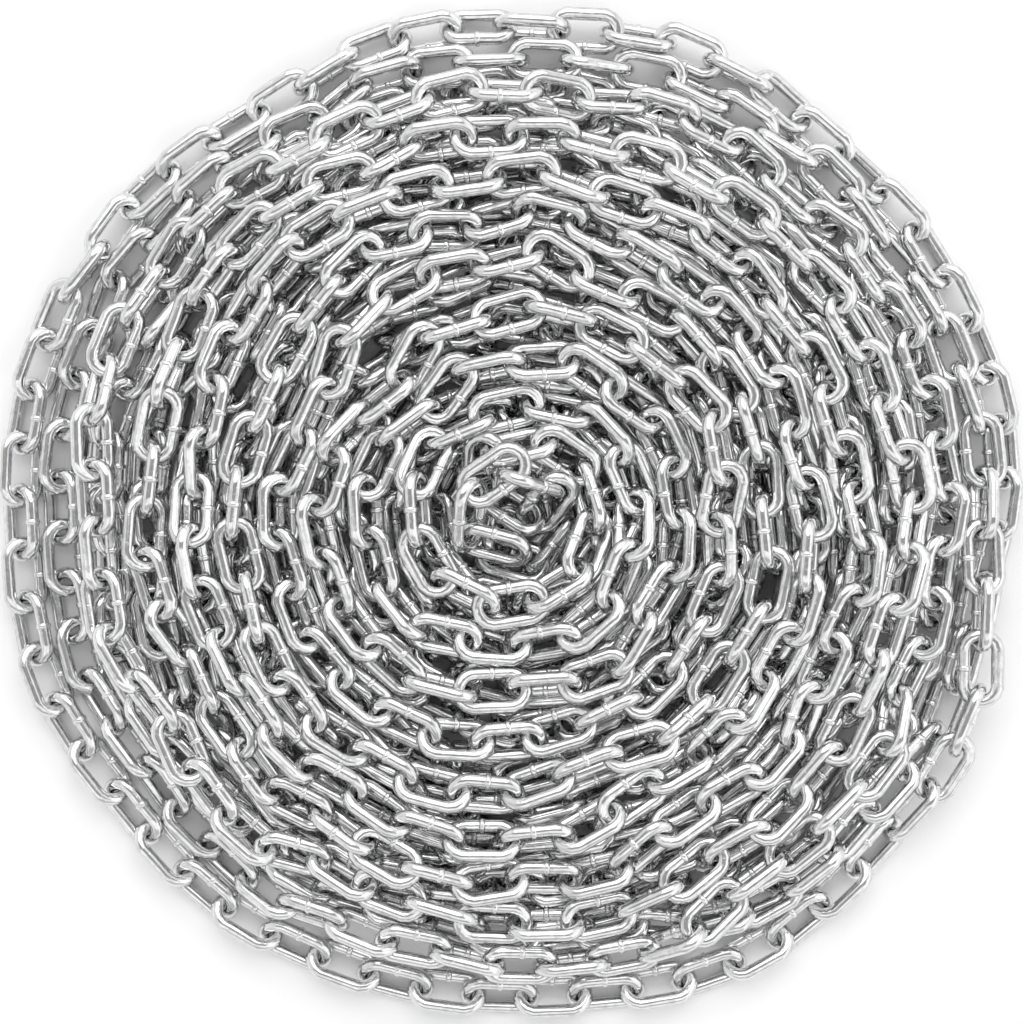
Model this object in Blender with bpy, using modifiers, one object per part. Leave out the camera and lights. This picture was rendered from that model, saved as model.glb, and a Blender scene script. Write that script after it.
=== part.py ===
"""Heap of welded steel chain, laid down as one flat spiral coil on top of two hidden lays.

Units are metres and +Z is up. The origin is the middle of the heap's footprint on the floor.
The chain of the visible lay runs inwards from the rim. Each turn of it is one fused solid of links
with open eyes, the last links at the loose end are separate solids that thread through each other,
and the hidden lays are one plain core.
"""

import math

import bmesh
import bpy
from mathutils import Matrix, Vector

# The link: short-link welded chain, 5 mm wire, 21 mm pitch, 18 mm wide, 31 mm long.
WIRE = 0.005
PITCH = 0.021
LINK_WIDTH = 0.018
SIDE_Y = (LINK_WIDTH - WIRE) / 2
CROWN_X = (PITCH + WIRE) / 2
PLAIN_CORNER = 0.0033

# The visible lay: a spiral from the rim inwards, each link rolled 45 degrees to one side or the other.
RIM_RADIUS = 0.1925
TURN_SPACING = 0.0169
TURNS = 9
ROLL = math.radians(45)
BITE = 0.0009
TURN_PLAY = 0.0011
END_PLAY = 0.0009

# The mound under the visible lay, as the height of that lay's centreline.
CHAIN_HALF = SIDE_Y * math.sin(ROLL) + WIRE / 2
LAY_HEIGHT = 0.0135
HIDDEN_LAYS = 2
SLOPE_WIDTH = 0.0446
CRATER_RADIUS = 0.052
CRATER_DEPTH = 0.006
CRATER_FLOOR_RADIUS = 0.018

# The loose end.
END_CLOSING = 0.004
END_LINKS = 11
TWIST_ANGLE = math.radians(120)
END_SIDES = 6
END_ARC_STEPS = 6

# The core of hidden links, in straight facets between these rings.
SEAT_GAP = 0.0003
SLOPE_GAP = 0.0011
CORE_STEPS = 48
SLOPE_RINGS = 5

STEEL = (0.72, 0.73, 0.74, 1.0)
STEEL_ROUGHNESS = 0.3


def ease(share):
    """Goes smoothly from 0 to 1 as share goes from 0 to 1."""
    share = min(1.0, max(0.0, share))
    return share * share * (3 - 2 * share)


def lay_height(radius):
    """On the floor at the rim, on two lays inside the slope, and a little lower in the crater."""
    rise = HIDDEN_LAYS * LAY_HEIGHT * ease((RIM_RADIUS - radius) / SLOPE_WIDTH)
    dip = CRATER_DEPTH * ease((CRATER_RADIUS - radius) / (CRATER_RADIUS - CRATER_FLOOR_RADIUS))
    return CHAIN_HALF + rise - dip


def lay_slope(radius):
    step = WIRE / 10
    return (lay_height(radius + step) - lay_height(radius - step)) / (2 * step)


def spiral_radius(angle):
    """Shrinks evenly with the angle, and faster past the last whole turn."""
    end_angle = max(0.0, angle - TURNS * math.tau)
    return RIM_RADIUS - (TURN_SPACING * angle + END_CLOSING * end_angle) / math.tau


def spiral_point(angle):
    radius = spiral_radius(angle)
    return Vector((radius * math.cos(angle), radius * math.sin(angle), lay_height(radius)))


def advance(angle, distance):
    """The angle of the point that lies a straight distance further along the spiral, or back if negative."""
    start = spiral_point(angle)
    step = distance / spiral_radius(angle)
    for _ in range(6):
        step *= abs(distance) / (spiral_point(angle + step) - start).length
    return angle + step


def link_pose(start, end, reach, roll):
    """Lays a link along two points, with its middle at the given reach past the first.

    Its plane is rolled about its length from the mound's surface.
    """
    along = (end - start).normalized()
    centre = start + along * reach
    outward = Vector((centre.x, centre.y, 0))
    normal = Vector((0, 0, 1)) - outward.normalized() * lay_slope(outward.length)
    across = normal.cross(along).normalized()
    frame = Matrix((along, across, along.cross(across))).transposed().to_4x4()
    return Matrix.Translation(centre) @ frame @ Matrix.Rotation(roll, 4, "X")


def twist(angle):
    """The links' extra roll: none up to the last turn, and 45 degrees past it.

    It leaves the end links flat and upright in turn, which lets them bend more tightly.
    """
    return ROLL * ease(1 - (TURNS * math.tau - angle) / TWIST_ANGLE)


def pivot_shift(angle):
    """How far a joint's pivot lies from the middle of its two crowns, towards the upright link's crown."""
    return WIRE / 2 * math.sin(2 * twist(angle))


def chain_poses():
    """The poses of the links in each turn, and of the end links as the last group.

    Links of one turn bite into each other, so that they fuse. Others hang together with play.
    """
    groups = [[] for _ in range(TURNS + 1)]
    angle = 0.0
    turn = 0
    side = 1
    while len(groups[TURNS]) < END_LINKS:
        guess = advance(angle, PITCH)
        reach = PITCH / 2 + side * pivot_shift(angle)
        end = advance(angle, reach + PITCH / 2 + side * pivot_shift(guess))
        roll = ROLL * side + twist((angle + end) / 2)
        groups[turn].append(link_pose(spiral_point(angle), spiral_point(end), reach, roll))
        next_turn = min(TURNS, int(end / math.tau))
        fused = next_turn == turn and turn < TURNS
        play = END_PLAY if turn == TURNS else TURN_PLAY
        angle = advance(end, BITE if fused else -play)
        turn = next_turn
        side = -side
    return groups


def steel_material():
    steel = bpy.data.materials.new("zinc_plated_steel")
    steel.use_nodes = True
    shader = steel.node_tree.nodes["Principled BSDF"]
    shader.inputs["Base Color"].default_value = STEEL
    shader.inputs["Metallic"].default_value = 1.0
    shader.inputs["Roughness"].default_value = STEEL_ROUGHNESS
    steel.diffuse_color = STEEL
    return steel


def wire_mesh(name, outline, radius, sides):
    """A closed wire of the given section along an outline in the XY plane."""
    curve = bpy.data.curves.new(name, "CURVE")
    curve.dimensions = "3D"
    curve.bevel_depth = radius
    curve.bevel_resolution = (sides - 4) // 2
    wire = curve.splines.new("POLY")
    wire.points.add(len(outline) - 1)
    for point, (x, y) in zip(wire.points, outline):
        point.co = (x, y, 0, 1)
    wire.use_cyclic_u = True
    guide = bpy.data.objects.new(name, curve)
    bpy.context.scene.collection.objects.link(guide)
    bpy.context.view_layer.update()
    graph = bpy.context.evaluated_depsgraph_get()
    mesh = bpy.data.meshes.new_from_object(guide.evaluated_get(graph))
    bpy.data.objects.remove(guide)
    return mesh


def plain_link():
    """A four-cornered link of the true length, width and eye, and of square wire that stands on its edge.

    The corners are mitred, which brings the wire's width in the link's plane back to WIRE.
    """
    corners = [(CROWN_X, -SIDE_Y), (CROWN_X, SIDE_Y), (-CROWN_X, SIDE_Y), (-CROWN_X, -SIDE_Y)]
    return wire_mesh("plain_link", corners, PLAIN_CORNER, 4)


def round_link():
    """Straight sides joined by half-round crowns."""
    centre = CROWN_X - SIDE_Y
    outline = []
    for side in (1, -1):
        for i in range(END_ARC_STEPS + 1):
            turn = math.pi * (i / END_ARC_STEPS - 0.5)
            outline.append((side * (centre + SIDE_Y * math.cos(turn)), side * SIDE_Y * math.sin(turn)))
    return wire_mesh("round_link", outline, WIRE / 2, END_SIDES)


def copies(name, source, poses):
    """One mesh that holds a copy of the source at each pose."""
    gathered = bmesh.new()
    for pose in poses:
        first = len(gathered.verts)
        gathered.from_mesh(source)
        gathered.verts.ensure_lookup_table()
        bmesh.ops.transform(gathered, matrix=pose, verts=gathered.verts[first:])
    mesh = bpy.data.meshes.new(name)
    gathered.to_mesh(mesh)
    gathered.free()
    return mesh


def footprint_middle(link, poses):
    """The middle of the box round the rim links, at the height of their lowest corner."""
    x, y, z = zip(*(pose @ vertex.co for pose in poses for vertex in link.vertices))
    return Vector(((min(x) + max(x)) / 2, (min(y) + max(y)) / 2, min(z)))


def add_object(name, mesh, steel, collection):
    made = bpy.data.objects.new(name, mesh)
    made.data.materials.clear()
    made.data.materials.append(steel)
    collection.objects.link(made)
    return made


def make_turn(name, poses, link, steel, heap, helpers):
    """One turn as one solid: every second link is in a helper that a Boolean joins to the others."""
    turn = add_object(name, copies(name, link, poses[0::2]), steel, heap)
    between = add_object(f"{name}_between", copies(f"{name}_between", link, poses[1::2]), steel, helpers)
    between.hide_render = True
    between.display_type = "WIRE"
    join = turn.modifiers.new("join_links", "BOOLEAN")
    join.operation = "UNION"
    join.object = between


def core_profile():
    """(radius, height) of the hidden lays, from the middle of their top out to their foot."""
    slope_top = RIM_RADIUS - SLOPE_WIDTH
    radii = [0.0, CRATER_FLOOR_RADIUS, (CRATER_FLOOR_RADIUS + CRATER_RADIUS) / 2, CRATER_RADIUS,
             CRATER_RADIUS + WIRE / 2]
    radii += [slope_top + SLOPE_WIDTH * i / SLOPE_RINGS for i in range(SLOPE_RINGS)]
    profile = []
    for radius in radii:
        slope = lay_slope(radius)
        steep = math.hypot(1, slope)
        if radius <= CRATER_RADIUS:
            gap = LINK_WIDTH / 2 + SEAT_GAP
        else:
            gap = CHAIN_HALF + (SLOPE_GAP if radius > slope_top else SEAT_GAP)
        profile.append((radius + gap * slope / steep, lay_height(radius) - gap / steep))
    return profile


def make_core(middle, steel, heap):
    """The hidden lays as one turned solid."""
    profile = core_profile()
    foot = profile[-1][0]
    profile += [(foot, 0.0), (0.0, 0.0)]
    mesh = bpy.data.meshes.new("hidden_lays")
    mesh.from_pydata([(r, 0, z) for r, z in profile], [(i, i + 1) for i in range(len(profile) - 1)], [])
    core = add_object("hidden_lays", mesh, steel, heap)
    core.location = (-middle.x, -middle.y, 0)
    turned = core.modifiers.new("turned", "SCREW")
    turned.steps = CORE_STEPS
    turned.render_steps = CORE_STEPS
    turned.use_merge_vertices = True
    turned.merge_threshold = WIRE / 100


def main():
    for old in list(bpy.data.objects):
        bpy.data.objects.remove(old)
    heap = bpy.data.collections.new("chain_heap")
    helpers = bpy.data.collections.new("helpers")
    bpy.context.scene.collection.children.link(heap)
    bpy.context.scene.collection.children.link(helpers)
    steel = steel_material()
    groups = chain_poses()
    link = plain_link()
    middle = footprint_middle(link, groups[0])
    shift = Matrix.Translation(-middle)
    groups = [[shift @ pose for pose in poses] for poses in groups]
    for turn in range(TURNS):
        make_turn(f"turn_{turn + 1:02d}", groups[turn], link, steel, heap, helpers)
    end_link = round_link()
    for i, pose in enumerate(groups[TURNS]):
        made = add_object(f"end_link_{i + 1:02d}", end_link.copy(), steel, heap)
        made.matrix_world = pose
    make_core(middle, steel, heap)


main()
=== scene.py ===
"""Heap of steel chain: looks.

The chain is laid down as one path of links: a bottom lay inwards, a second lay outwards, once round
the rim on the floor, over its own start, and a top lay inwards to the loose end. Every link is a
rigid ring threaded through the next, and a settle lets them sink together under their own weight.
The frame's CAD solids are hidden, and each is replaced by the links that lie in its place.
"""

import math

import bpy
import numpy as np
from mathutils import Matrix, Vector


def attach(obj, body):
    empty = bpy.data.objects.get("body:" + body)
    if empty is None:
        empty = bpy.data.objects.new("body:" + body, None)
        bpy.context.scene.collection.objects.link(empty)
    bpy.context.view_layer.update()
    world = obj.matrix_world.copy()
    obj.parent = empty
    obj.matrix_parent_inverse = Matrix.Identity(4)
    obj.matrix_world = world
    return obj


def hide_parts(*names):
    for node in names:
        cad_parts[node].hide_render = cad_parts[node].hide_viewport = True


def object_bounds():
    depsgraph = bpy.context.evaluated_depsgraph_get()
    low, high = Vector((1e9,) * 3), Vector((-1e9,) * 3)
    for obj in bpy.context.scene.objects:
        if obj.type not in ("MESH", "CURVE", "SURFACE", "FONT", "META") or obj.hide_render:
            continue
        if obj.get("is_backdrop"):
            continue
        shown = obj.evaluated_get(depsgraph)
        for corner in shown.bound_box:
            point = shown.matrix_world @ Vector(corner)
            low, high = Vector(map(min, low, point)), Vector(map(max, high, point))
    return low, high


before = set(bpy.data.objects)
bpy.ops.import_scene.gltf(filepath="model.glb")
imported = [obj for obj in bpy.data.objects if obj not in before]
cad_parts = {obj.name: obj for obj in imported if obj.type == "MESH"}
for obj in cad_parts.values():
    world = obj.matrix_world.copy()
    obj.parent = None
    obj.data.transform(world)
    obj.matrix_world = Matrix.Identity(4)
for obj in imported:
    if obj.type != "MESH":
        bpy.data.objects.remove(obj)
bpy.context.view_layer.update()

bl_info = {
    "name": "Steel Chain Heap",
    "version": (1, 0, 0),
    "blender": (4, 5, 0),
    "location": "3D View > Sidebar > Chain",
    "description": "Lays down a heap of short-link steel chain, link by link",
    "category": "Add Mesh",
}

MM = 0.001
TURN_NODES = sorted(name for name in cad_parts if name.startswith("turn_"))
END_NODES = sorted(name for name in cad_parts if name.startswith("end_link_"))
LINK_PLACES = "link_places"
LINKS_TREE = "Chain links on points"


# Settings

class ChainLinkSettings(bpy.types.PropertyGroup):
    """Size and make of one welded link."""

    wire: bpy.props.FloatProperty(
        name="Wire", description="Diameter of the drawn wire",
        default=0.005, min=0.001, unit="LENGTH", subtype="DISTANCE")
    pitch: bpy.props.FloatProperty(
        name="Pitch", description="Inner length of a link, from crown to crown",
        default=0.021, min=0.004, unit="LENGTH", subtype="DISTANCE")
    width: bpy.props.FloatProperty(
        name="Width", description="Outer width of a link",
        default=0.018, min=0.004, unit="LENGTH", subtype="DISTANCE")
    weld_height: bpy.props.FloatProperty(
        name="Weld height", description="How far the butt weld stands proud of the wire",
        default=0.0005, min=0.0, unit="LENGTH", subtype="DISTANCE")
    weld_length: bpy.props.FloatProperty(
        name="Weld length", description="Length of the butt weld along the wire",
        default=0.0022, min=0.0001, unit="LENGTH", subtype="DISTANCE")
    top_sides: bpy.props.IntProperty(
        name="Sides, top lay", description="Faces round the wire of the links that show",
        default=10, min=6)
    top_crown_steps: bpy.props.IntProperty(
        name="Crown steps, top lay", description="Even number of steps round each crown in the top lay",
        default=8, min=4)
    lower_sides: bpy.props.IntProperty(
        name="Sides, lower lays", description="Faces round the wire of the links in the lower lays",
        default=8, min=6)
    lower_crown_steps: bpy.props.IntProperty(
        name="Crown steps, lower lays", description="Even number of steps round each crown in the lower lays",
        default=6, min=4)


class HeapSettings(bpy.types.PropertyGroup):
    """How the chain is laid down."""

    seed: bpy.props.IntProperty(
        name="Seed", description="Seed of the chain's wander, roll and slack", default=19)
    rim_radius: bpy.props.FloatProperty(
        name="Rim radius", description="Radius of the chain's run round the rim",
        default=0.1905, unit="LENGTH", subtype="DISTANCE")
    top_spacing: bpy.props.FloatProperty(
        name="Row spacing, top lay", description="Distance between turns of the top lay",
        default=0.0168, unit="LENGTH", subtype="DISTANCE")
    lower_spacing: bpy.props.FloatProperty(
        name="Row spacing, lower lays", description="Distance between turns of the lower lays",
        default=0.0156, unit="LENGTH", subtype="DISTANCE")
    lay_gap: bpy.props.FloatProperty(
        name="Lay gap", description="Height between lays before they settle",
        default=0.017, unit="LENGTH", subtype="DISTANCE")
    row_room: bpy.props.FloatProperty(
        name="Row room", description="Rows that lie closer than this ride up on each other",
        default=0.0135, unit="LENGTH", subtype="DISTANCE")
    slack: bpy.props.FloatProperty(
        name="Slack", description="How much shorter than the pitch a joint is laid, on average",
        default=0.0009, unit="LENGTH", subtype="DISTANCE")
    roll_wander: bpy.props.FloatProperty(
        name="Roll wander", description="How far the links' roll drifts from 45 degrees",
        default=math.radians(30), subtype="ANGLE")
    row_wander: bpy.props.FloatProperty(
        name="Row wander", description="Size of each of the waves that a row takes over from the row before",
        default=0.0015, unit="LENGTH", subtype="DISTANCE")
    row_stray: bpy.props.FloatProperty(
        name="Row stray", description="How far a row strays sideways on its own",
        default=0.0014, unit="LENGTH", subtype="DISTANCE")


class SettleSettings(bpy.types.PropertyGroup):
    """How the links sink together under their own weight."""

    steps: bpy.props.IntProperty(
        name="Steps", description="Steps of the fall", default=120, min=0)
    passes: bpy.props.IntProperty(
        name="Passes", description="Contact passes in each step", default=7, min=1)
    last_passes: bpy.props.IntProperty(
        name="Last passes", description="Contact passes after the fall", default=250, min=1)
    fall: bpy.props.FloatProperty(
        name="Fall", description="How far each link drops in a step",
        default=0.0002, unit="LENGTH", subtype="DISTANCE")
    grip: bpy.props.FloatProperty(
        name="Grip", description="Share of its sideways drift that a link loses in a step",
        default=0.02, min=0.0, max=1.0, subtype="FACTOR")


class FinishSettings(bpy.types.PropertyGroup):
    """Colours and gloss of the plated wire."""

    bright: bpy.props.StringProperty(
        name="Bright zinc", description="Colour of the bright plating, sRGB", default="#EFEFEF")
    dull: bpy.props.StringProperty(
        name="Dull zinc", description="Colour of the duller patches, sRGB", default="#D5D6D7")
    weld: bpy.props.StringProperty(
        name="Weld", description="Colour of the plating on the butt weld, sRGB", default="#E6E6E6")
    gloss: bpy.props.FloatProperty(
        name="Roughness", description="Roughness of the brightest plating",
        default=0.07, min=0.0, max=1.0, subtype="FACTOR")


class StageSettings(bpy.types.PropertyGroup):
    """Floor, lights and camera."""

    floor_colour: bpy.props.StringProperty(
        name="Floor", description="Colour of the floor, sRGB", default="#FCFCFC")
    floor_size: bpy.props.FloatProperty(
        name="Floor size", description="Side of the square floor",
        default=20.0, unit="LENGTH", subtype="DISTANCE")
    room_colour: bpy.props.StringProperty(
        name="Room", description="Colour of the room's light, sRGB", default="#FFFFFF")
    wall_light: bpy.props.FloatProperty(
        name="Walls", description="Brightness of the room near the floor", default=1.0, min=0.0)
    ceiling_light: bpy.props.FloatProperty(
        name="Ceiling", description="Brightness of the unlit ceiling round the camera", default=0.4, min=0.0)
    top_panel: bpy.props.FloatProperty(
        name="Top panel", description="Brightness of the light panel beyond the top of the picture",
        default=0.84, min=0.0)
    bottom_panel: bpy.props.FloatProperty(
        name="Bottom panel", description="Brightness of the light panel beyond the bottom of the picture",
        default=1.18, min=0.0)
    right_panel: bpy.props.FloatProperty(
        name="Right panel", description="Brightness of the light panel at the right", default=1.34, min=0.0)
    left_panel: bpy.props.FloatProperty(
        name="Left panel", description="Brightness of the light panel at the left", default=0.9, min=0.0)
    key_strength: bpy.props.FloatProperty(
        name="Key light", description="Strength of the key light, from beyond the top of the picture",
        default=1.1, min=0.0)
    key_elevation: bpy.props.FloatProperty(
        name="Key elevation", description="Height of the key light over the horizon",
        default=math.radians(45), subtype="ANGLE")
    key_spread: bpy.props.FloatProperty(
        name="Key spread", description="Width of the key light as seen from the heap",
        default=math.radians(60), subtype="ANGLE")
    camera_height: bpy.props.FloatProperty(
        name="Camera height", description="Height of the camera over the floor",
        default=0.85, unit="LENGTH", subtype="DISTANCE")
    margin: bpy.props.FloatProperty(
        name="Margin", description="Width of the view as a share of the heap's width", default=0.988)


# Where the chain lies, in millimetres

# Where the route's legs end, as distances in from the rim or out from the middle
BOTTOM_LAY_INSET = 19
SECOND_LAY_INSET = 31
LOWER_LAYS_HOLE = 15.0
SLOPE_INSET = 12
RIM_INSET = 1
SECOND_TURN_INSET = 8
TOP_LAY_HOLE = 33
# The short legs across the middle, down the slope, out to the rim, round it and in again, in whole turns
CROSSING_TURNS = 0.14
SLOPE_TURNS = 0.16
RIM_TURNS = 0.1
FIRST_TURN = 0.85
STEP_IN_TURNS = 0.15
# The loose end's legs, as turns and the radius where they end
LOOSE_END = ((0.42, -30.0), (0.26, 24.0), (0.85, 13.0))
# The corners between the legs are rounded over this length
CORNER_LENGTH = 40
FINE_STEP = 0.25

# The waves of a row, as counts a turn, and how they drift from row to row
ROW_WAVES = (2, 3, 5, 8, 11)
ROW_DRIFT = 0.11
STRAY_LENGTH = 60
# Near the middle, where the turns are tight, the rows stray less, down to this share
CALM_RADIUS = 10
CALM_WIDTH = 60
CALM_SHARE = 0.25

# The ramps up to and down from what the chain crosses, and its first height over the floor
RAMP_SLOPE = 0.55
RAMP_LENGTH = 30
RAMP_CORNER = 17
START_CLEARANCE = 0.2

# Links are rolled 45 degrees to one side and the other in turn. The roll drifts over a few links, and
# the slack differs from joint to joint.
LINK_ROLL = math.radians(45)
ROLL_LINKS = 6
ROLL_JITTER = math.radians(7)
SLACK_SPREAD = 0.45
TIGHT_RADIUS = 60
TIGHT_WIDTH = 25


def ease(share):
    """Goes smoothly from 0 to 1 as share goes from 0 to 1."""
    share = np.clip(share, 0, 1)
    return share * share * (3 - 2 * share)


def wander(rng, length, wave, spread):
    """Smooth random values, one for each step of the length, that change over about one wave."""
    knots = rng.normal(size=int(length / wave) + 4)
    place = np.arange(int(length) + 2) / wave
    first = place.astype(int)
    share = ease(place - first)
    return spread * (knots[first] * (1 - share) + knots[first + 1] * share)


def softened(values, width):
    """The running mean over an odd number of values, which counts the outer ones less."""
    window = np.hanning(width)
    window /= window.sum()
    return np.convolve(np.pad(values, width // 2, mode="edge"), window, mode="valid")


def resting_heights(x, y, floor, gap, stack):
    """Heights of the chain along its route: on the floor, or on what was laid there before.

    A ramp leads up to and down from each stretch that it crosses.
    """
    reach = int(stack)
    size = 2 * int(np.hypot(x, y).max() + stack) + 4
    row = np.round(x).astype(int) + size // 2
    column = np.round(y).astype(int) + size // 2
    offsets = np.arange(-reach, reach + 1)
    apart = np.hypot(offsets[:, None], offsets[None])
    clearance = np.where(apart < stack, gap * (1 - (apart / stack) ** 2), -np.inf)
    laid = np.full((size, size), -np.inf)
    ramp = RAMP_SLOPE * np.arange(RAMP_LENGTH + 1)
    needed = np.full(len(x) + RAMP_LENGTH, floor)
    height = np.full(len(x), floor)
    for i in range(len(x) + RAMP_LENGTH):
        if i < len(x):
            below = laid[row[i] - reach:row[i] + reach + 1, column[i] - reach:column[i] + reach + 1]
            needed[i] = max(floor, (below + clearance).max())
        k = i - RAMP_LENGTH
        if k >= 0:
            height[k] = max((needed[k:i + 1] - ramp).max(), height[k - 1] - RAMP_SLOPE if k else floor)
            laid[row[k], column[k]] = height[k]
    return height


def route_legs(heap):
    """The route's turns and radii, as running totals, and the turn where the top lay starts.

    A negative radius is beyond the middle.
    """
    rim = heap.rim_radius / MM
    lower = heap.lower_spacing / MM
    top = heap.top_spacing / MM
    bottom, second = rim - BOTTOM_LAY_INSET, rim - SECOND_LAY_INSET
    hole, top_start = LOWER_LAYS_HOLE, rim - SECOND_TURN_INSET
    lower_legs = [
        ((bottom - hole) / lower, hole),
        (CROSSING_TURNS, -hole),
        ((second - hole) / lower, -second),
        (SLOPE_TURNS, -(rim - SLOPE_INSET)),
        (RIM_TURNS, -(rim - RIM_INSET)),
    ]
    top_legs = [
        (FIRST_TURN, -rim),
        (STEP_IN_TURNS, -top_start),
        ((top_start - TOP_LAY_HOLE) / top, -TOP_LAY_HOLE),
        *LOOSE_END,
    ]
    turns, radii = np.array([(0.0, bottom), *lower_legs, *top_legs]).T
    turns = np.cumsum(turns)
    return turns, radii, turns[len(lower_legs)]


def chain_route(heap, link, rng):
    """The chain's centreline as one point for each millimetre, and its angle at each.

    The angle is 0 where the top lay starts.
    """
    turns, radii, top_turn = route_legs(heap)
    run = np.hypot(np.diff(radii), np.diff(turns) * math.tau * (np.abs(radii[1:]) + np.abs(radii[:-1])) / 2)
    run = np.concatenate([[0], np.cumsum(run)])
    fine = np.arange(0, run[-1], FINE_STEP)
    corner = int(CORNER_LENGTH / FINE_STEP) | 1
    turns, radius = (softened(np.interp(fine, run, values), corner) for values in (turns, radii))
    angle = (turns - top_turn) * math.tau
    flat = radius * np.exp(1j * (angle + math.pi))
    travelled = np.concatenate([[0], np.cumsum(np.abs(np.diff(flat)))])
    every_mm = np.arange(0, travelled[-1], 1.0)
    angle = np.interp(every_mm, travelled, angle)
    radius = np.interp(every_mm, travelled, radius)
    stray = sum(heap.row_wander / MM * np.cos(waves * angle + rng.uniform(0, math.tau) + angle * ROW_DRIFT)
                for waves in ROW_WAVES)
    stray += wander(rng, travelled[-1], STRAY_LENGTH, heap.row_stray / MM)[:len(radius)]
    radius = radius + stray * np.clip((np.abs(radius) - CALM_RADIUS) / CALM_WIDTH, CALM_SHARE, 1)
    x, y = -radius * np.cos(angle), -radius * np.sin(angle)
    chain_half = (link.width - link.wire) / MM / 2 * math.sin(LINK_ROLL) + link.wire / MM / 2
    height = resting_heights(x, y, chain_half + START_CLEARANCE, heap.lay_gap / MM, heap.row_room / MM)
    return np.stack([x, y, softened(height, RAMP_CORNER)], 1), angle


def lay_links(heap, link):
    """Each link's middle and turn before the settle, and its angle along the route."""
    rng = np.random.default_rng(heap.seed)
    route, angle = chain_route(heap, link, rng)
    pitch = (link.pitch - heap.slack) / MM
    ends = [0]
    while True:
        want = pitch + rng.uniform(-SLACK_SPREAD, SLACK_SPREAD)
        tip = ends[-1] + int(want)
        while tip < len(route) and np.linalg.norm(route[tip] - route[ends[-1]]) < want:
            tip += 1
        if tip >= len(route):
            break
        ends.append(tip)
    start, end = route[ends[:-1]], route[ends[1:]]
    count = len(start)
    along = (end - start) / np.linalg.norm(end - start, axis=1, keepdims=True)
    across = np.cross([0.0, 0.0, 1.0], along)
    across /= np.linalg.norm(across, axis=1, keepdims=True)
    up = np.cross(along, across)
    side = np.where(np.arange(count) % 2 == 0, 1, -1)
    roll = side * LINK_ROLL + wander(rng, count, ROLL_LINKS, heap.roll_wander)[:count]
    roll += rng.normal(0, ROLL_JITTER, count)
    # Flat and upright links in turn bend more tightly, as they must near the middle
    from_middle = np.hypot(*((start + end) / 2)[:, :2].T)
    roll += LINK_ROLL * ease((TIGHT_RADIUS - from_middle) / TIGHT_WIDTH)
    roll = roll[:, None]
    y = across * np.cos(roll) + up * np.sin(roll)
    z = up * np.cos(roll) - across * np.sin(roll)
    middles = (np.array(ends[:-1]) + np.array(ends[1:])) // 2
    return (start + end) / 2, to_quaternions(np.stack([along, y, z], 2)), angle[middles]


# The settle, in millimetres

def to_quaternions(m):
    """Rotation matrices as unit quaternions (w, x, y, z)."""
    xx, yy, zz = m[:, 0, 0], m[:, 1, 1], m[:, 2, 2]
    q = np.stack([1 + xx + yy + zz, 1 + xx - yy - zz, 1 - xx + yy - zz, 1 - xx - yy + zz], 1)
    q = np.sqrt(np.maximum(q, 0)) / 2
    q[:, 1] = np.copysign(q[:, 1], m[:, 2, 1] - m[:, 1, 2])
    q[:, 2] = np.copysign(q[:, 2], m[:, 0, 2] - m[:, 2, 0])
    q[:, 3] = np.copysign(q[:, 3], m[:, 1, 0] - m[:, 0, 1])
    return q / np.linalg.norm(q, axis=1, keepdims=True)


def to_matrices(q):
    """Unit quaternions as rotation matrices."""
    w, x, y, z = q.T
    return np.stack([
        1 - 2 * (y * y + z * z), 2 * (x * y - w * z), 2 * (x * z + w * y),
        2 * (x * y + w * z), 1 - 2 * (x * x + z * z), 2 * (y * z - w * x),
        2 * (x * z - w * y), 2 * (y * z + w * x), 1 - 2 * (x * x + y * y)], 1).reshape(-1, 3, 3)


def turned(q, spin):
    """The quaternions turned by small rotation vectors."""
    w, a, b, c = q.T
    x, y, z = (spin / 2).T
    q = q + np.stack([
        -x * a - y * b - z * c,
        x * w + y * c - z * b,
        y * w + z * a - x * c,
        z * w + x * b - y * a], 1)
    return q / np.linalg.norm(q, axis=1, keepdims=True)


def dot(a, b):
    """The dot product of each row of a with the same row of b."""
    return np.einsum("ij,ij->i", a, b)


def cross(a, b):
    """The cross product of each row of a with the same row of b."""
    return np.stack([
        a[:, 1] * b[:, 2] - a[:, 2] * b[:, 1],
        a[:, 2] * b[:, 0] - a[:, 0] * b[:, 2],
        a[:, 0] * b[:, 1] - a[:, 1] * b[:, 0]], 1)


def summed(link_of, values, count):
    """The sum of the vectors that belong to each link."""
    return np.stack([np.bincount(link_of, values[:, axis], count) for axis in range(3)], 1)


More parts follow.
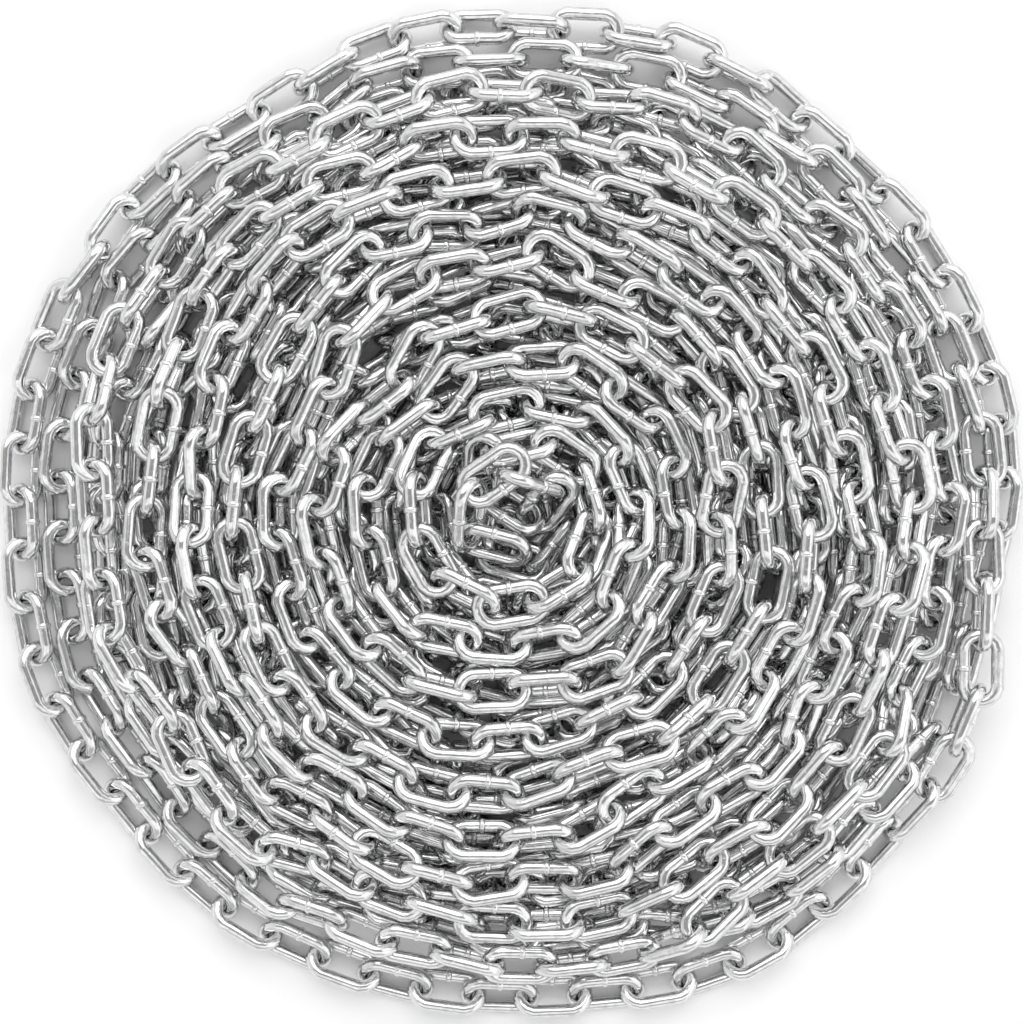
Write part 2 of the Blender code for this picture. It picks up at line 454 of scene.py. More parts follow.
class Settle:
    """Rigid links as rings of round-ended rods, which push each other apart where they overlap."""

    bend_steps = 6
    over_relax = 1.4
    # Links this much lower than another, in millimetres, hardly yield to it
    yield_height = 3.0
    most_yield = 4
    # Rods nearer than this, in millimetres, are watched until the next search
    reach = 1.0
    search_every = 8
    last_search_every = 15
    search_block = 3000
    # Past this share of the steps the links fall more slowly
    fast_share = 0.7
    slow_fall = 0.35
    parallel = 1e-6
    tiny_area = 1e-9
    tiny_length = 1e-6

    def __init__(self, middles, turns, link):
        self.wire = link.wire / MM
        half_width = (link.width - link.wire) / MM / 2
        straight = (link.pitch + link.wire) / MM / 2 - half_width
        swell = 2 / (1 + math.cos(math.pi / self.bend_steps / 2))
        ring = []
        for side in (1, -1):
            for i in range(self.bend_steps + 1):
                bend = math.pi * (i / self.bend_steps - 0.5)
                ring.append((side * (straight + half_width * swell * math.cos(bend)),
                             side * half_width * math.sin(bend), 0.0))
            ring.append((0.0, side * half_width, 0.0))
        self.ring = np.array(ring)
        self.underside = np.full(len(ring), self.wire / 2)
        self.underside[self.bend_steps + 1] += link.weld_height / MM
        rods = np.roll(self.ring, -1, axis=0) - self.ring
        lengths = np.linalg.norm(rods, axis=1)
        self.half_rods = lengths / 2
        centres = self.ring + rods / 2
        squares = (centres ** 2 * lengths[:, None]).sum(0) / lengths.sum()
        x2, y2, z2 = squares + (self.wire / 4) ** 2
        self.gyration = np.array([y2 + z2, x2 + z2, x2 + y2])
        self.middles = middles.copy()
        self.turns = turns.copy()
        self.home = middles[:, :2].copy()

    def rings(self):
        """The corners of every link's ring."""
        return self.middles[:, None, :] + np.einsum("nij,kj->nki", to_matrices(self.turns), self.ring)

    def find_pairs(self):
        """Pairs of rods of different links that are near enough to meet soon."""
        starts = self.rings()
        centres = (starts + np.roll(starts, -1, axis=1)) / 2
        apart = ((self.middles[:, None] - self.middles[None]) ** 2).sum(2)
        longest = np.abs(self.ring[:, 0]).max() * 2 + self.wire
        first, second = np.nonzero(np.triu(apart < (longest + self.reach) ** 2, 1))
        limit = self.wire + self.reach + self.half_rods[:, None] + self.half_rods[None, :]
        found = []
        for block in range(0, len(first), self.search_block):
            a, b = first[block:block + self.search_block], second[block:block + self.search_block]
            between = centres[a][:, :, None] - centres[b][:, None]
            k, i, j = np.nonzero(np.sqrt((between ** 2).sum(3)) < limit)
            found.append(np.stack([a[k], i, b[k], j], 1))
        self.pairs = np.concatenate(found)
        near = self.closest(starts)[0] < self.wire + self.reach
        self.pairs = self.pairs[near]

    def closest(self, starts):
        """Distance, direction and nearest points of each pair of rods."""
        a, i, b, j = self.pairs.T
        rods = (np.roll(starts, -1, axis=1) - starts).reshape(-1, 3)
        points = starts.reshape(-1, 3)
        ka, kb = a * starts.shape[1] + i, b * starts.shape[1] + j
        p1, d1, p2, d2 = points[ka], rods[ka], points[kb], rods[kb]
        r = p1 - p2
        aa, ee, bb = dot(d1, d1), dot(d2, d2), dot(d1, d2)
        ff, cc = dot(d2, r), dot(d1, r)
        slant = aa * ee - bb * bb
        crossing = (bb * ff - cc * ee) / np.maximum(slant, self.tiny_area)
        s = np.where(slant > self.parallel * aa * ee, crossing, 0.5)
        t = np.clip((bb * np.clip(s, 0, 1) + ff) / ee, 0, 1)
        s = np.clip((bb * t - cc) / aa, 0, 1)
        c1, c2 = p1 + s[:, None] * d1, p2 + t[:, None] * d2
        gap = c1 - c2
        return np.sqrt(dot(gap, gap)), gap, c1, c2

    def push_apart(self):
        """One pass over all contacts. The upper link of a pair yields more than the lower one."""
        count = len(self.middles)
        frames = to_matrices(self.turns)
        ease_of_turn = np.einsum("nij,j,nkj->nik", frames, 1 / self.gyration, frames)
        starts = self.rings()
        distance, gap, c1, c2 = self.closest(starts)
        hit = np.nonzero(distance < self.wire)[0]
        a, b = self.pairs[hit, 0], self.pairs[hit, 2]
        normal = gap[hit] / np.maximum(distance[hit], self.tiny_length)[:, None]
        depth = self.wire - distance[hit]
        arm_a, arm_b = cross(c1[hit] - self.middles[a], normal), cross(c2[hit] - self.middles[b], normal)
        spin_a = np.einsum("nij,nj->ni", ease_of_turn[a], arm_a)
        spin_b = np.einsum("nij,nj->ni", ease_of_turn[b], arm_b)
        lower_by = (self.middles[b, 2] - self.middles[a, 2]) / self.yield_height
        share = 1 / (1 + np.exp(np.clip(lower_by, -self.most_yield, self.most_yield)))
        push = depth / ((1 + dot(arm_a, spin_a)) * share + (1 + dot(arm_b, spin_b)) * (1 - share))
        push_a, push_b = (push * share)[:, None], (push * (1 - share))[:, None]
        move = summed(a, normal * push_a, count) - summed(b, normal * push_b, count)
        spin = summed(a, spin_a * push_a, count) - summed(b, spin_b * push_b, count)
        contacts = np.bincount(a, share * 2, count) + np.bincount(b, (1 - share) * 2, count)
        below = self.underside - starts[:, :, 2]
        k, i = np.nonzero(below > 0)
        upward = np.tile([0.0, 0.0, 1.0], (len(k), 1))
        arm = cross(starts[k, i] - self.middles[k], upward)
        spin_k = np.einsum("nij,nj->ni", ease_of_turn[k], arm)
        lift = (below[k, i] / (1 + dot(arm, spin_k)))[:, None]
        move += summed(k, upward * lift, count)
        spin += summed(k, spin_k * lift, count)
        contacts += np.bincount(k, minlength=count)
        relax = (self.over_relax / np.maximum(contacts, 1))[:, None]
        self.middles = self.middles + move * relax
        self.turns = turned(self.turns, spin * relax)
        return depth

    def run(self, settings):
        """Lets the links fall step by step, and then takes out what overlap is left."""
        for step in range(settings.steps):
            if step % self.search_every == 0:
                self.find_pairs()
            speed = 1 if step < settings.steps * self.fast_share else self.slow_fall
            self.middles[:, 2] -= settings.fall / MM * speed
            self.middles[:, :2] += settings.grip * (self.home - self.middles[:, :2])
            for _ in range(settings.passes):
                self.push_apart()
        for last in range(settings.last_passes):
            if last % self.last_search_every == 0:
                self.find_pairs()
            depth = self.push_apart()
        print(f"overlap left, mm: deepest {depth.max():.3f}, mean {depth.mean():.3f}")


def settle_links(scene):
    """Leaves a mesh of one vertex for each link, with its turn and the number of its piece.

    Piece 0 is the lower lays, then come the turns of the top lay, then the links of the loose end.
    """
    middles, turns, angle = lay_links(scene.chain_heap, scene.chain_link)
    settle = Settle(middles, turns, scene.chain_link)
    settle.run(scene.chain_settle)
    piece = np.clip(np.floor(angle / math.tau).astype(int) + 1, 0, len(TURN_NODES))
    piece[-len(END_NODES):] = len(TURN_NODES) + 1 + np.arange(len(END_NODES))
    mesh = bpy.data.meshes.new(LINK_PLACES)
    mesh.vertices.add(len(middles))
    mesh.vertices.foreach_set("co", (settle.middles * MM).astype(np.float32).ravel())
    turn_values = mesh.attributes.new("turn", "QUATERNION", "POINT").data
    turn_values.foreach_set("value", settle.turns.astype(np.float32).ravel())
    piece_values = mesh.attributes.new("piece", "INT", "POINT").data
    piece_values.foreach_set("value", piece.astype(np.int32))


# Geometry Nodes

MATH = "ShaderNodeMath"
VECTOR_MATH = "ShaderNodeVectorMath"
MAP_RANGE = "ShaderNodeMapRange"
MIX = "ShaderNodeMix"
SEPARATE = "ShaderNodeSeparateXYZ"
COMBINE = "ShaderNodeCombineXYZ"
CIRCLE = "GeometryNodeCurvePrimitiveCircle"
SET_POSITION = "GeometryNodeSetPosition"
SET_SMOOTH = "GeometryNodeSetShadeSmooth"
STORE = "GeometryNodeStoreNamedAttribute"
NAMED = "GeometryNodeInputNamedAttribute"

# Points added along the sides of a link: most of the welded side's go to the weld
WELDED_SIDE_CUTS = 7
PLAIN_SIDE_CUTS = 2
# How far out along its side a point lies, as a share: the side's own ends, and the outer added ones
END_REACH = 0.8
OUTER_REACH = 0.6
# The weld's bulge is nearly flat on top and falls off steeply at its feet
WELD_BULGE = 4.0
FOOT_WIDTH = 0.05


def node(tree, kind, *values, **settings):
    """Adds a node with its settings, and links or sets its inputs.

    The values go to the inputs in order, or to those that one dict names. A node that is given as a
    value stands for its first output in use.
    """
    made = tree.nodes.new(kind)
    for name, value in settings.items():
        setattr(made, name, value)
    inputs = values[0] if values and isinstance(values[0], dict) else dict(enumerate(values))
    for key, value in inputs.items():
        if isinstance(value, bpy.types.Node):
            value = next(output for output in value.outputs if output.enabled)
        if isinstance(value, bpy.types.NodeSocket):
            tree.links.new(value, made.inputs[key])
        else:
            made.inputs[key].default_value = value
    return made


def link_outline(tree, given):
    """The wire's centreline: a circle pulled apart into two half-round crowns.

    Both sides get points where the crowns begin, and the welded side has five more across the weld.
    """
    steps = given["Crown steps"]
    inner_width = node(tree, MATH, given["Width"], given["Wire"], operation="SUBTRACT")
    crown = node(tree, MATH, inner_width, 0.5, operation="MULTIPLY")
    length = node(tree, MATH, given["Pitch"], given["Wire"], operation="ADD")
    half_length = node(tree, MATH, length, 0.5, operation="MULTIPLY")
    straight = node(tree, MATH, half_length, crown, operation="SUBTRACT")
    step = node(tree, MATH, math.pi, steps, operation="DIVIDE")
    half_step = node(tree, MATH, step, 0.5, operation="MULTIPLY")
    # The corners lie a little outside the true arc and the edges' middles inside it by as much
    cosine = node(tree, MATH, half_step, operation="COSINE")
    swell = node(tree, MATH, 2.0, node(tree, MATH, 1.0, cosine, operation="ADD"), operation="DIVIDE")
    radius = node(tree, MATH, crown, swell, operation="MULTIPLY")
    corners = node(tree, MATH, steps, 2, operation="MULTIPLY")
    circle = node(tree, CIRCLE, {"Resolution": corners, "Radius": radius}, mode="RADIUS")
    half_turn = node(tree, COMBINE, {"Z": half_step})
    circle = node(tree, "GeometryNodeTransform", {"Geometry": circle, "Rotation": half_turn})
    x, y, z = node(tree, SEPARATE, node(tree, "GeometryNodeInputPosition")).outputs
    pulled = node(tree, MATH, node(tree, MATH, x, operation="SIGN"), straight, operation="MULTIPLY")
    outline = node(tree, SET_POSITION, {"Geometry": circle, "Offset": node(tree, COMBINE, {"X": pulled})})
    index = node(tree, "GeometryNodeInputIndex")
    welded_side = node(tree, MATH, steps, 0.5, -1.0, operation="MULTIPLY_ADD")
    plain_side = node(tree, MATH, welded_side, steps, operation="ADD")
    is_welded = node(tree, MATH, index, welded_side, 0.5, operation="COMPARE")
    is_plain = node(tree, MATH, index, plain_side, 0.5, operation="COMPARE")
    plain_cuts = node(tree, MATH, is_plain, PLAIN_SIDE_CUTS, operation="MULTIPLY")
    cuts = node(tree, MATH, is_welded, WELDED_SIDE_CUTS, plain_cuts, operation="MULTIPLY_ADD")
    outline = node(tree, "GeometryNodeSubdivideCurve", {"Curve": outline, "Cuts": cuts})
    # The outer added points go to the ends of the straight sides, and the inner ones to the weld
    half_side = node(tree, MATH, radius, node(tree, MATH, half_step, operation="SINE"), straight,
                     operation="MULTIPLY_ADD")
    reach = node(tree, MATH, node(tree, MATH, x, operation="ABSOLUTE"), half_side, operation="DIVIDE")
    added = node(tree, MATH, reach, END_REACH, operation="LESS_THAN")
    far_out = node(tree, MATH, reach, OUTER_REACH, operation="GREATER_THAN")
    on_plain_side = node(tree, MATH, y, 0.0, operation="LESS_THAN")
    outer = node(tree, MATH, far_out, on_plain_side, operation="MAXIMUM")
    squeeze = node(tree, MATH, given["Weld length"], half_side, operation="DIVIDE")
    squeezed = node(tree, MATH, x, squeeze, operation="MULTIPLY")
    moved_x = node(tree, MIX, {"Factor": outer, "A": squeezed, "B": pulled}, data_type="FLOAT")
    moved = node(tree, COMBINE, moved_x, y, z)
    return node(tree, SET_POSITION, {"Geometry": outline, "Selection": added, "Position": moved})


def welded_link(tree, given):
    """One link as a closed mesh that remembers where on the wire each point lies, for the finish."""
    half_weld = node(tree, MATH, given["Weld length"], 0.5, operation="MULTIPLY")

    def weld_distance(place):
        """How many half welds a place is from the weld's middle, and 1 on its side of the link."""
        x, y, _ = node(tree, SEPARATE, place).outputs
        away = node(tree, MATH, node(tree, MATH, x, operation="ABSOLUTE"), half_weld, operation="DIVIDE")
        return away, node(tree, MATH, y, 0.0, operation="GREATER_THAN")

    place = node(tree, "GeometryNodeInputPosition")
    away, on_side = weld_distance(place)
    bulge = node(tree, MATH, 1.0, node(tree, MATH, away, WELD_BULGE, operation="POWER"), operation="SUBTRACT")
    weld = node(tree, MATH, node(tree, MATH, bulge, 0.0, operation="MAXIMUM"), on_side, operation="MULTIPLY")
    outline = link_outline(tree, given)
    outline = node(tree, STORE, {"Geometry": outline, "Name": "weld", "Value": weld},
                   data_type="FLOAT", domain="POINT")
    outline = node(tree, STORE, {"Geometry": outline, "Name": "link_place", "Value": place},
                   data_type="FLOAT_VECTOR", domain="POINT")
    radius = node(tree, MATH, given["Wire"], 0.5, operation="MULTIPLY")
    section = node(tree, CIRCLE, {"Resolution": given["Sides"], "Radius": radius}, mode="RADIUS")
    section = node(tree, STORE, {"Geometry": section, "Name": "round_wire", "Value": place},
                   data_type="FLOAT_VECTOR", domain="POINT")
    height = node(tree, MATH, given["Weld height"], radius, operation="DIVIDE")
    proud = node(tree, MATH, weld, height, 1.0, operation="MULTIPLY_ADD")
    wire = node(tree, "GeometryNodeCurveToMesh", {"Curve": outline, "Profile Curve": section, "Scale": proud})
    # An edge that runs round the wire at a foot of the weld is sharp
    away, on_side = weld_distance(node(tree, NAMED, {"Name": "link_place"}, data_type="FLOAT_VECTOR"))
    at_foot = node(tree, MATH, away, 1.0, FOOT_WIDTH, operation="COMPARE")
    foot = node(tree, MATH, at_foot, on_side, operation="MULTIPLY")
    return node(tree, SET_SMOOTH, {"Geometry": wire, "Selection": foot, "Shade Smooth": False}, domain="EDGE")


def links_tree():
    """A link on every point of one piece, by the point's own turn."""
    tree = bpy.data.node_groups.new(LINKS_TREE, "GeometryNodeTree")
    face = tree.interface
    face.new_socket("Link places", in_out="INPUT", socket_type="NodeSocketGeometry")
    for name in ("Wire", "Pitch", "Width", "Weld height", "Weld length"):
        face.new_socket(name, in_out="INPUT", socket_type="NodeSocketFloat")
    for name in ("Sides", "Crown steps", "Piece", "Seed"):
        face.new_socket(name, in_out="INPUT", socket_type="NodeSocketInt")
    face.new_socket("Finish", in_out="INPUT", socket_type="NodeSocketMaterial")
    face.new_socket("Links", in_out="OUTPUT", socket_type="NodeSocketGeometry")
    given = node(tree, "NodeGroupInput").outputs
    tone = node(tree, "FunctionNodeRandomValue",
                {"ID": node(tree, "GeometryNodeInputIndex"), "Seed": given["Seed"]}, data_type="FLOAT")
    points = node(tree, STORE, {"Geometry": given["Link places"], "Name": "link_tone", "Value": tone},
                  data_type="FLOAT", domain="POINT")
    piece = node(tree, NAMED, {"Name": "piece"}, data_type="INT")
    in_piece = node(tree, MATH, piece, given["Piece"], 0.5, operation="COMPARE")
    turn = node(tree, NAMED, {"Name": "turn"}, data_type="QUATERNION")
    link = welded_link(tree, given)
    links = node(tree, "GeometryNodeInstanceOnPoints",
                 {"Points": points, "Selection": in_piece, "Instance": link, "Rotation": turn})
    links = node(tree, "GeometryNodeRealizeInstances", {"Geometry": links})
    links = node(tree, SET_SMOOTH, {"Geometry": links})
    links = node(tree, "GeometryNodeSetMaterial", {"Geometry": links, "Material": given["Finish"]})
    node(tree, "NodeGroupOutput", links)
    return tree


def chain_piece(context, name, cad_node, piece, sides, crown_steps):
    """Makes the links of one piece as a plain mesh that stands for a CAD node."""
    places = bpy.data.meshes.get(LINK_PLACES)
    if places is None:
        raise RuntimeError("lay the chain before its pieces are made")
    link = context.scene.chain_link
    tree = bpy.data.node_groups.get(LINKS_TREE) or links_tree()
    values = {
        "Wire": link.wire, "Pitch": link.pitch, "Width": link.width, "Weld height": link.weld_height,
        "Weld length": link.weld_length, "Sides": sides, "Crown steps": crown_steps, "Piece": piece,
        "Seed": context.scene.chain_heap.seed, "Finish": zinc_plated_wire(context.scene.chain_finish)}
    guide = bpy.data.objects.new(f"{name}_places", places)
    context.scene.collection.objects.link(guide)
    modifier = guide.modifiers.new("links", "NODES")
    modifier.node_group = tree
    for socket in tree.interface.items_tree:
        if socket.name in values:
            modifier[socket.identifier] = values[socket.name]
    context.view_layer.update()
    mesh = bpy.data.meshes.new_from_object(guide.evaluated_get(context.evaluated_depsgraph_get()))
    guide.modifiers.clear()
    bpy.data.objects.remove(guide)
    if not mesh.polygons:
        raise RuntimeError(f"{name} has no links")
    # The guide wears no material, which leaves an empty slot before the links' own
    if mesh.materials[0] is None:
        mesh.materials.pop(index=0)
    mesh.name = name
    made = bpy.data.objects.new(name, mesh)
    context.scene.collection.objects.link(made)
    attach(made, "root")
    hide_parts(cad_node)


# Finishes

# The marks on the wire, as their width round it and length along it in millimetres. The die's real
# streaks are about 0.1 mm apart, too fine to show, and are drawn as coarse as they need to be.
STREAK_SIZE = (0.45, 12.0)
PATCH_SIZE = (2.4, 3.2)
BRUISE_SIZE = (0.9, 1.3)
RELIEF_HEIGHT = 0.035
BRUISE_DEPTH = 0.8
# The noise stays mostly between 0.3 and 0.7, and these are the values between which each mark sets in
STREAK_FADE = (0.3, 0.7)
DULL_FADE = (0.45, 0.75)
MATT_FADE = (0.35, 0.75)
BRUISE_FADE = (0.62, 0.72)
# What the marks do to the plating's brightness and roughness
STREAK_SHADE = (0.84, 1.04)
LINK_SHADE = (0.93, 1.0)
MATT_ROUGHNESS = 0.14
BRUISE_ROUGHNESS = 0.1
WELD_ROUGHNESS = 0.12
WELD_COVER = 0.6
# How far apart the links, and the two sides of a link, lie in the noise
LINKS_APART = 1000.0
SIDES_APART = 0.6


def rgba(hex_colour):
    """An sRGB hex colour as linear RGBA."""
    parts = [int(hex_colour[i:i + 2], 16) / 255 for i in (1, 3, 5)]
    return [c / 12.92 if c <= 0.04045 else ((c + 0.055) / 1.055) ** 2.4 for c in parts] + [1.0]


def material(name):
    """A new material and its empty node tree."""
    made = bpy.data.materials.new(name)
    made.use_nodes = True
    made.node_tree.nodes.clear()
    return made, made.node_tree


def zinc_plated_wire(finish):
    """Drawn low-carbon steel wire, bright zinc plated in a barrel.

    The die leaves fine streaks along the wire, which draw each highlight out into lines. The barrel
    leaves soft dull patches and small bruises. The butt weld is rougher, and shows as a pale ring.
    """
    name = "drawn_wire_bright_zinc_plated"
    if name in bpy.data.materials:
        return bpy.data.materials[name]
    made, tree = material(name)
    around, place = (node(tree, "ShaderNodeAttribute", attribute_name=attribute).outputs["Vector"]
                     for attribute in ("round_wire", "link_place"))
    tone, weld = (node(tree, "ShaderNodeAttribute", attribute_name=attribute).outputs["Fac"]
                  for attribute in ("link_tone", "weld"))
    own = node(tree, MATH, tone, LINKS_APART, operation="MULTIPLY")

    def marks(size, detail):
        """Noise that is drawn out along the wire, and differs from link to link."""
        width, length = size
        across = node(tree, VECTOR_MATH, {"Vector": around, "Scale": 1 / (width * MM)}, operation="SCALE")
        along = node(tree, VECTOR_MATH, {"Vector": place, "Scale": 1 / (length * MM)}, operation="SCALE")
        x, y, _ = node(tree, SEPARATE, along).outputs
        run = node(tree, MATH, y, SIDES_APART, x, operation="MULTIPLY_ADD")
        run = node(tree, MATH, run, own, operation="ADD")
        where = node(tree, VECTOR_MATH, across, node(tree, COMBINE, {"Z": run}), operation="ADD")
        return node(tree, "ShaderNodeTexNoise", {"Vector": where, "Scale": 1.0, "Detail": detail},
                    noise_dimensions="3D")

    streaks = marks(STREAK_SIZE, 2.0)
    patches = marks(PATCH_SIZE, 3.0)
    bruise = node(tree, MAP_RANGE, marks(BRUISE_SIZE, 2.0), *BRUISE_FADE)
    dull = node(tree, MAP_RANGE, patches, *DULL_FADE)
    plating = node(tree, MIX, {"Factor": dull, "A": rgba(finish.bright), "B": rgba(finish.dull)},
                   data_type="RGBA")
    streak_shade = node(tree, MAP_RANGE, streaks, *STREAK_FADE, *STREAK_SHADE)
    link_shade = node(tree, MAP_RANGE, tone, 0.0, 1.0, *LINK_SHADE)
    shade = node(tree, MATH, streak_shade, link_shade, operation="MULTIPLY")
    shaded = node(tree, MIX, {"Factor": 1.0, "A": plating, "B": shade},
                  data_type="RGBA", blend_type="MULTIPLY")
    weld_cover = node(tree, MATH, weld, WELD_COVER, operation="MULTIPLY")
    colour = node(tree, MIX, {"Factor": weld_cover, "A": shaded, "B": rgba(finish.weld)}, data_type="RGBA")
    matt = node(tree, MAP_RANGE, patches, *MATT_FADE, finish.gloss, finish.gloss + MATT_ROUGHNESS)
    roughness = node(tree, MATH, weld, WELD_ROUGHNESS, matt, operation="MULTIPLY_ADD")
    roughness = node(tree, MATH, bruise, BRUISE_ROUGHNESS, roughness, operation="MULTIPLY_ADD")
    relief = node(tree, MATH, bruise, -BRUISE_DEPTH, streaks, operation="MULTIPLY_ADD")
    bump = node(tree, "ShaderNodeBump", {"Strength": 1.0, "Distance": RELIEF_HEIGHT * MM, "Height": relief})
    shader = node(tree, "ShaderNodeBsdfPrincipled",
                  {"Base Color": colour, "Metallic": 1.0, "Roughness": roughness, "Normal": bump})
    node(tree, "ShaderNodeOutputMaterial", shader)
    return made


def matt_white_board(colour):
    """Matt painted board: pale, with hardly any gloss of its own, so that only soft shadows show on it."""
    made, tree = material("matt_white_board")
    shader = node(tree, "ShaderNodeBsdfPrincipled",
                  {"Base Color": rgba(colour), "Roughness": 0.9, "Specular IOR Level": 0.2})
    node(tree, "ShaderNodeOutputMaterial", shader)
    return made


# Stage

# The walls are dimmer just above the horizon at the bottom of the picture
DIM_WALL = 0.6
# Sideways share of a direction where the side panels begin, and upward share where the walls end
SIDE_PANEL_FADE = (0.56, 0.66)
LEFT_TO_RIGHT = (-0.1, 0.1)
WALL_TOP_FADE = (0.18, 0.28)


def studio_room(stage):
    """A studio with a dim ceiling round the camera and a light panel beyond each side of the picture.

    The steel mirrors the panels as white bands along each wire, and the ceiling as the darker line between.
    """
    world = bpy.data.worlds.new("studio_room")
    world.use_nodes = True
    tree = world.node_tree
    tree.nodes.clear()
    x, y, z = node(tree, SEPARATE, node(tree, "ShaderNodeTexCoord").outputs["Generated"]).outputs
    wall, dim_wall = stage.wall_light, stage.wall_light * DIM_WALL
    # Degrees from straight up, towards the top of the picture, and the light there
    bands = ((-90, wall), (-68, dim_wall), (-50, dim_wall),
             (-44, stage.bottom_panel), (-16, stage.bottom_panel),
             (-10, stage.ceiling_light), (14, stage.ceiling_light),
             (20, stage.top_panel), (82, stage.top_panel), (90, wall))
    tilt = node(tree, MATH, y, z, operation="ARCTAN2")
    place = node(tree, MATH, tilt, 1 / math.pi, 0.5, operation="MULTIPLY_ADD")
    ramp = node(tree, "ShaderNodeValToRGB", place)
    ramp.color_ramp.interpolation = "LINEAR"
    while len(ramp.color_ramp.elements) < len(bands):
        ramp.color_ramp.elements.new(1.0)
    for element, (degrees, light) in zip(ramp.color_ramp.elements, bands):
        element.position = (degrees + 90) / 180
        element.color = (light, light, light, 1.0)
    sideways = node(tree, MATH, x, operation="ABSOLUTE")
    at_side = node(tree, MAP_RANGE, sideways, *SIDE_PANEL_FADE, interpolation_type="SMOOTHSTEP")
    side_light = node(tree, MAP_RANGE, x, *LEFT_TO_RIGHT, stage.left_panel, stage.right_panel,
                      interpolation_type="SMOOTHSTEP")
    overhead = node(tree, MIX, {"Factor": at_side, "A": ramp, "B": side_light}, data_type="FLOAT")
    above_walls = node(tree, MAP_RANGE, z, *WALL_TOP_FADE, interpolation_type="SMOOTHSTEP")
    light = node(tree, MIX, {"Factor": above_walls, "A": wall, "B": overhead}, data_type="FLOAT")
    background = node(tree, "ShaderNodeBackground", {"Color": rgba(stage.room_colour), "Strength": light})
    node(tree, "ShaderNodeOutputWorld", background)
    return world


def aim(item, target):
    """Turns a light or camera to look at a point."""
    item.rotation_euler = (Vector(target) - item.location).to_track_quat("-Z", "Y").to_euler()


# Operators

class CHAIN_OT_lay_chain(bpy.types.Operator):
    """Lays the whole chain down and lets it settle"""

    bl_idname = "chain.lay_chain"
    bl_label = "Lay the chain"

    def execute(self, context):
        settle_links(context.scene)
        return {"FINISHED"}


class CHAIN_OT_make_lower_lays(bpy.types.Operator):
    """Makes the links of the two lower lays"""

    bl_idname = "chain.make_lower_lays"
    bl_label = "Lower lays"

    def execute(self, context):
        link = context.scene.chain_link
        chain_piece(context, "lower_lays_links", "hidden_lays", 0, link.lower_sides, link.lower_crown_steps)
        return {"FINISHED"}


class CHAIN_OT_make_turns(bpy.types.Operator):
    """Makes the links of the top lay, one piece for each turn"""

    bl_idname = "chain.make_turns"
    bl_label = "Turns of the top lay"

    def execute(self, context):
        link = context.scene.chain_link
        for i, cad_node in enumerate(TURN_NODES):
            chain_piece(context, f"{cad_node}_links", cad_node, 1 + i, link.top_sides, link.top_crown_steps)
        return {"FINISHED"}


class CHAIN_OT_make_loose_end(bpy.types.Operator):
    """Makes the last links of the chain, one piece for each link"""

    bl_idname = "chain.make_loose_end"
    bl_label = "Loose end"

    def execute(self, context):
        link = context.scene.chain_link
        for i, cad_node in enumerate(END_NODES):
            piece = 1 + len(TURN_NODES) + i
            chain_piece(context, f"{cad_node}_welded", cad_node, piece, link.top_sides, link.top_crown_steps)
        return {"FINISHED"}


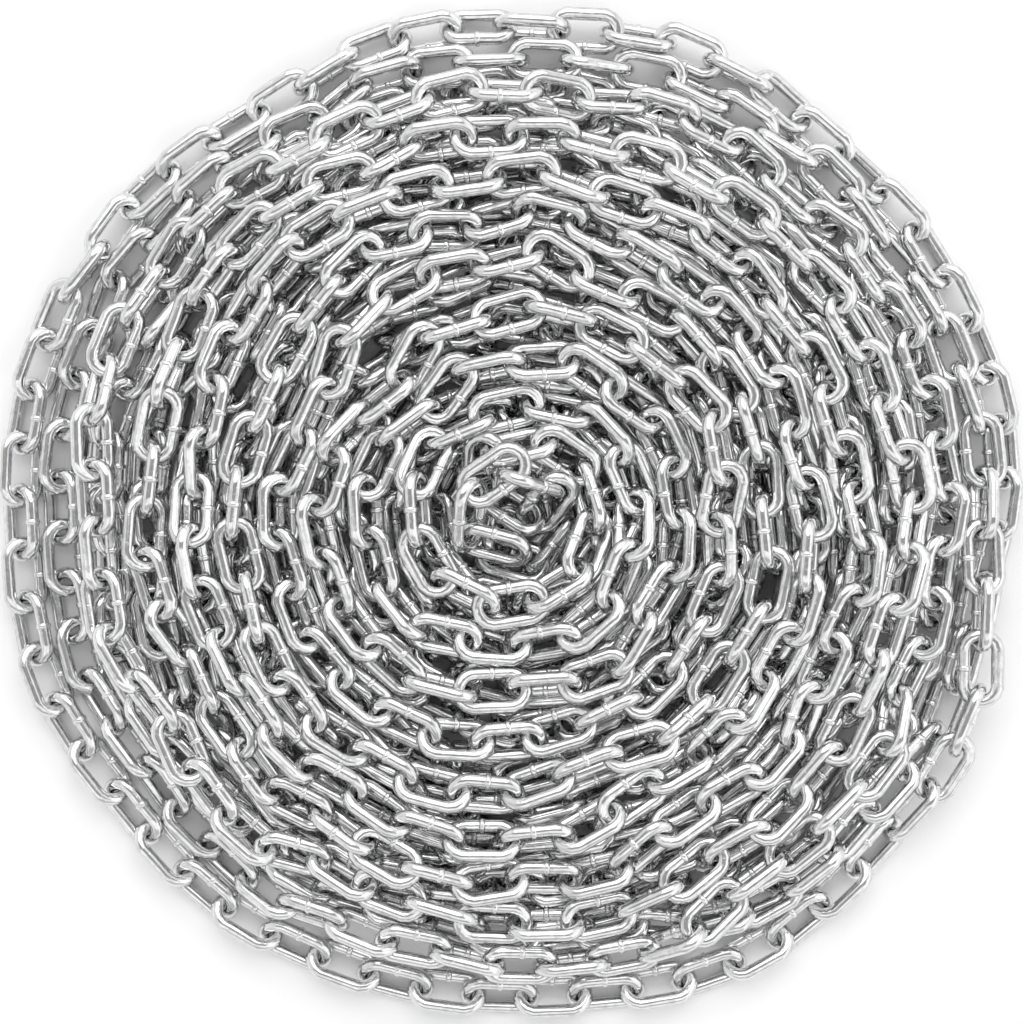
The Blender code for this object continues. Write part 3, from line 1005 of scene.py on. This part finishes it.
class CHAIN_OT_set_stage(bpy.types.Operator):
    """Makes the floor, the lights and the camera that looks straight down"""

    bl_idname = "chain.set_stage"
    bl_label = "Stage"

    def execute(self, context):
        scene = context.scene
        stage = scene.chain_stage
        bpy.ops.mesh.primitive_plane_add(size=stage.floor_size)
        floor = context.object
        floor.name = "floor"
        floor.data.materials.append(matt_white_board(stage.floor_colour))
        floor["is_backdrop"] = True
        sun = bpy.data.lights.new("key_light", "SUN")
        sun.energy = stage.key_strength
        sun.angle = stage.key_spread
        key = bpy.data.objects.new("key_light", sun)
        key.location = (0.0, math.cos(stage.key_elevation), math.sin(stage.key_elevation))
        aim(key, (0, 0, 0))
        scene.collection.objects.link(key)
        scene.world = studio_room(stage)
        scene.view_settings.view_transform = "Standard"
        lens = bpy.data.cameras.new("overhead_camera")
        camera = bpy.data.objects.new("overhead_camera", lens)
        low, high = (Vector(corner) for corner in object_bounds())
        middle = (low + high) / 2
        camera.location = (middle.x, middle.y, stage.camera_height)
        # The view is as wide as the heap at the height where the rim's links end
        rim_distance = stage.camera_height - scene.chain_link.width
        lens.angle = 2 * math.atan((high.x - low.x) / 2 * stage.margin / rim_distance)
        scene.collection.objects.link(camera)
        scene.camera = camera
        return {"FINISHED"}


class CHAIN_PT_heap(bpy.types.Panel):
    """Sizes of the chain and the steps that make the heap"""

    bl_label = "Steel Chain Heap"
    bl_idname = "CHAIN_PT_heap"
    bl_space_type = "VIEW_3D"
    bl_region_type = "UI"
    bl_category = "Chain"

    def draw(self, context):
        scene = context.scene
        for title, settings, operators in (
                ("Link", scene.chain_link, ()),
                ("Heap", scene.chain_heap, ()),
                ("Settle", scene.chain_settle, (CHAIN_OT_lay_chain,)),
                ("Finish", scene.chain_finish,
                 (CHAIN_OT_make_lower_lays, CHAIN_OT_make_turns, CHAIN_OT_make_loose_end)),
                ("Stage", scene.chain_stage, (CHAIN_OT_set_stage,))):
            box = self.layout.box()
            box.label(text=title)
            for name in settings.__annotations__:
                box.prop(settings, name)
            for operator in operators:
                box.operator(operator.bl_idname)


SETTINGS = {
    "chain_link": ChainLinkSettings,
    "chain_heap": HeapSettings,
    "chain_settle": SettleSettings,
    "chain_finish": FinishSettings,
    "chain_stage": StageSettings,
}
CLASSES = (*SETTINGS.values(), CHAIN_OT_lay_chain, CHAIN_OT_make_lower_lays, CHAIN_OT_make_turns,
           CHAIN_OT_make_loose_end, CHAIN_OT_set_stage, CHAIN_PT_heap)


def register():
    for kind in CLASSES:
        bpy.utils.register_class(kind)
    for name, kind in SETTINGS.items():
        setattr(bpy.types.Scene, name, bpy.props.PointerProperty(type=kind))


def unregister():
    for name in SETTINGS:
        delattr(bpy.types.Scene, name)
    for kind in reversed(CLASSES):
        bpy.utils.unregister_class(kind)


def main():
    register()
    bpy.ops.chain.lay_chain()
    bpy.ops.chain.make_lower_lays()
    bpy.ops.chain.make_turns()
    bpy.ops.chain.make_loose_end()
    bpy.ops.chain.set_stage()


if __name__ == "__main__":
    main()
